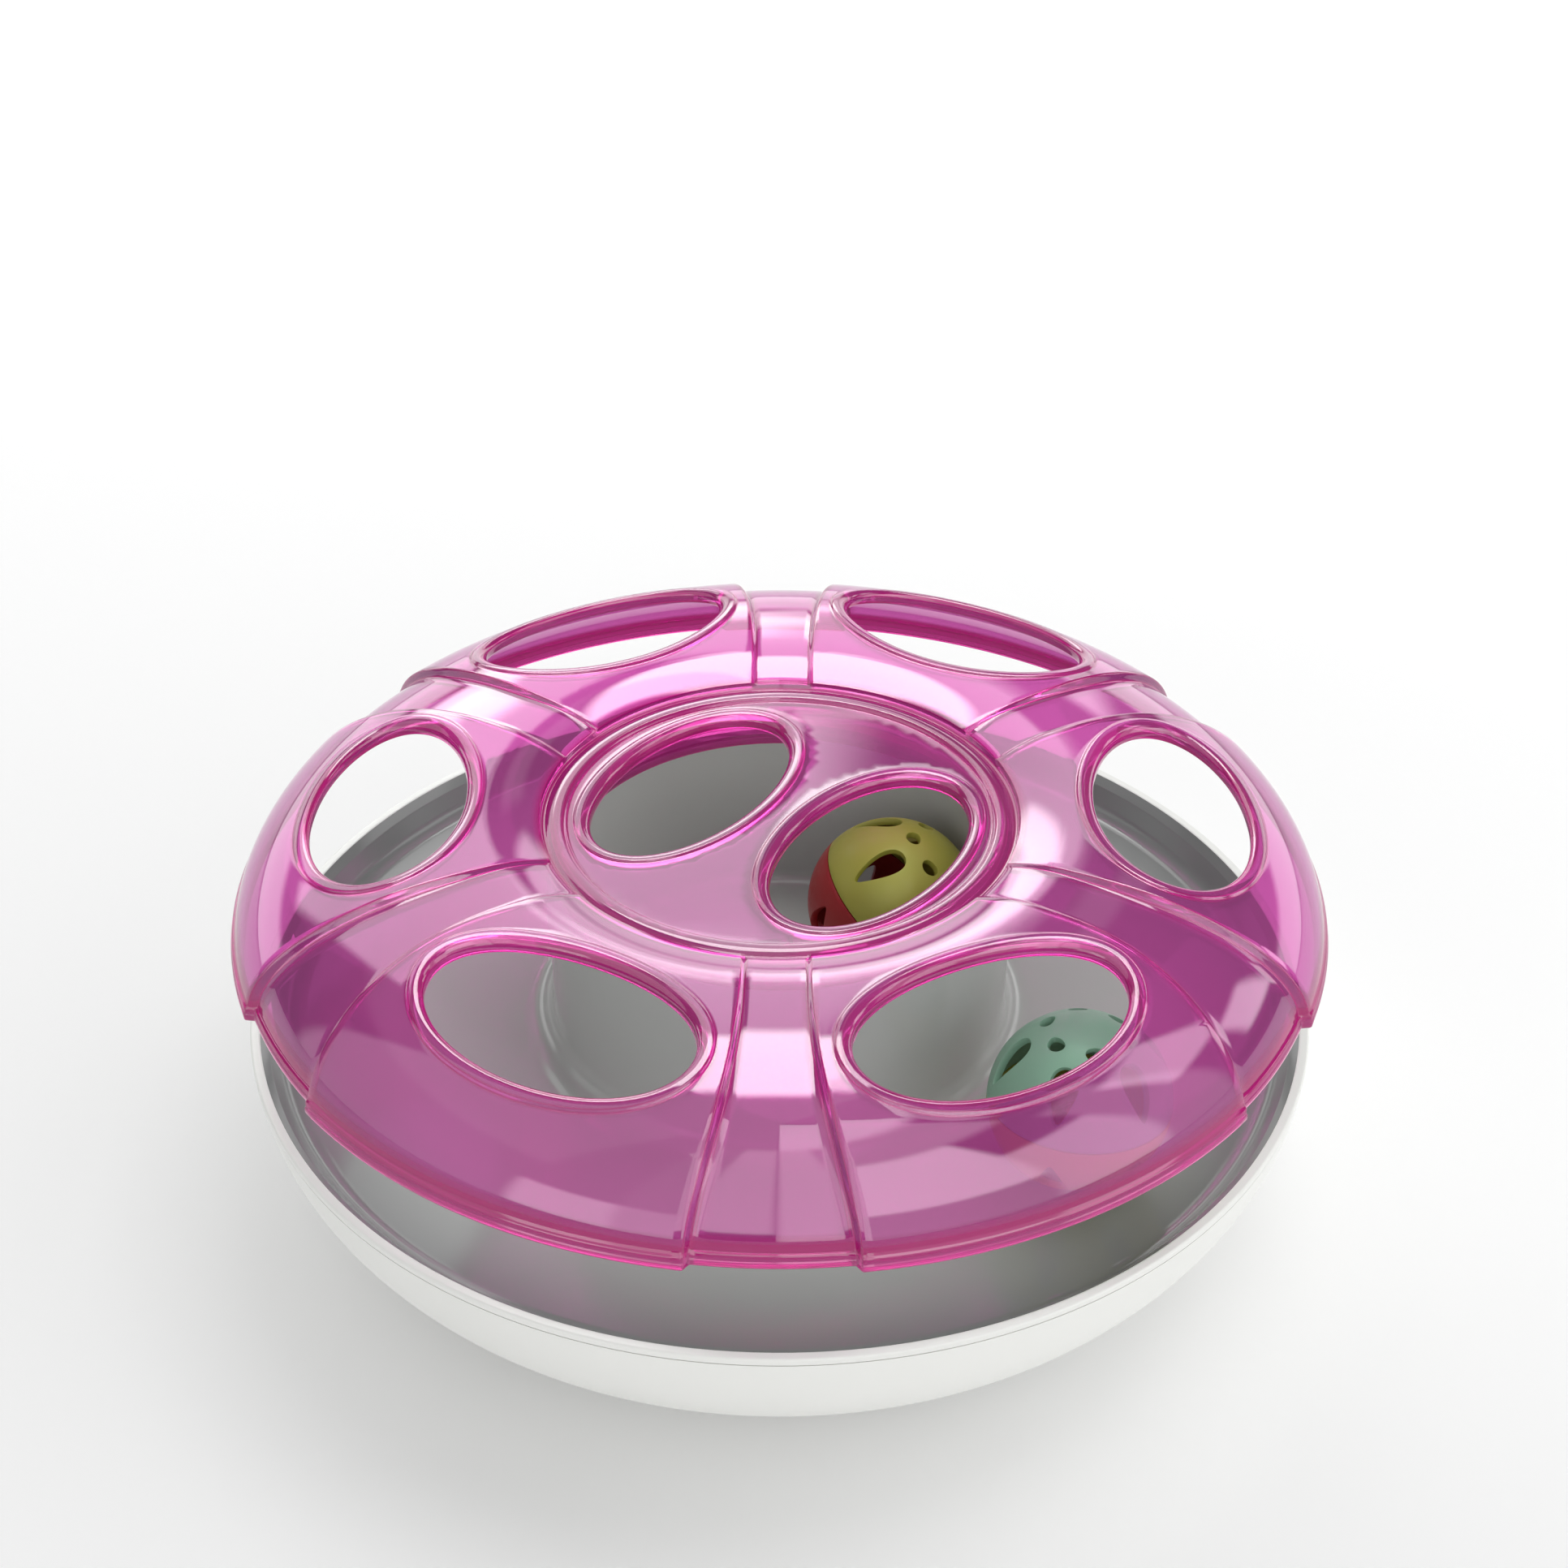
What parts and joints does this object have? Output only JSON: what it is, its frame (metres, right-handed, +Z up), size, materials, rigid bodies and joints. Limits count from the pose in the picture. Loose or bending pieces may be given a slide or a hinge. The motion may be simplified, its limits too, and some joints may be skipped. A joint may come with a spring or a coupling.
{
  "type": "cat ball track toy",
  "caption": "Round cat ball track toy: a white hull and track tray, a clear tinted lid with oval paw holes, and hollow balls with bells in the track and in the middle cup.",
  "frame": {"origin": "on the floor under the middle of the cup", "axes": "+Z up; -Y towards the channel of the lid that faces the viewer; +X to the viewer's right"},
  "size_m": [0.2502, 0.2484, 0.1027],
  "materials": {
    "white_plastic": "moulded, semi-gloss",
    "pink_clear_plastic": "clear tinted, polished",
    "grey_rubber": "matte",
    "zinc_steel": "zinc plated",
    "bell_brass": "plated, pressed",
    "mint_plastic": "moulded, satin",
    "yellow_plastic": "moulded, satin",
    "red_plastic": "moulded, satin"
  },
  "bodies": {
    "base": {"base_shell": "white_plastic", "track_tray": "white_plastic", "foot_pad_1": "grey_rubber", "foot_pad_2": "grey_rubber", "foot_pad_3": "grey_rubber", "foot_pad_4": "grey_rubber", "tray_screw_1": "zinc_steel", "tray_screw_2": "zinc_steel", "tray_screw_3": "zinc_steel", "tray_screw_4": "zinc_steel"},
    "lid": {"lid": "pink_clear_plastic"},
    "track_bell": {"track_bell_top": "bell_brass", "track_bell_bottom": "bell_brass", "track_bell_pellet": "zinc_steel"},
    "track_ball": {"track_ball_half_mint": "mint_plastic", "track_ball_half_yellow": "yellow_plastic"},
    "cup_bell": {"cup_bell_top": "bell_brass", "cup_bell_bottom": "bell_brass", "cup_bell_pellet": "zinc_steel"},
    "cup_ball": {"cup_ball_half_yellow": "yellow_plastic", "cup_ball_half_red": "red_plastic"}
  },
  "joints": [
    {"name": "lid_lift", "type": "slide", "parent": "base", "child": "lid", "axis": [0, 0, 1], "range_m": [0, 0.06]},
    {"name": "track_orbit", "type": "hinge", "parent": "base", "child": "track_bell", "pos_m": [0, 0, 0], "axis": [0, 0, 1], "continuous": true},
    {"name": "track_roll", "type": "hinge", "parent": "track_bell", "child": "track_ball", "pos_m": [0.06541, -0.05767, 0.062], "axis": [0.7501, -0.6613, 0], "continuous": true},
    {"name": "cup_orbit", "type": "hinge", "parent": "base", "child": "cup_bell", "pos_m": [0, 0, 0], "axis": [0, 0, 1], "continuous": true},
    {"name": "cup_roll", "type": "hinge", "parent": "cup_bell", "child": "cup_ball", "pos_m": [0.02651, 0.01488, 0.062], "axis": [0.8721, 0.4894, 0], "continuous": true}
  ],
  "couplings": [
    {"joint": "track_roll", "follows": "track_orbit", "ratio": -4.36},
    {"joint": "cup_roll", "follows": "cup_orbit", "ratio": -1.52}
  ]
}
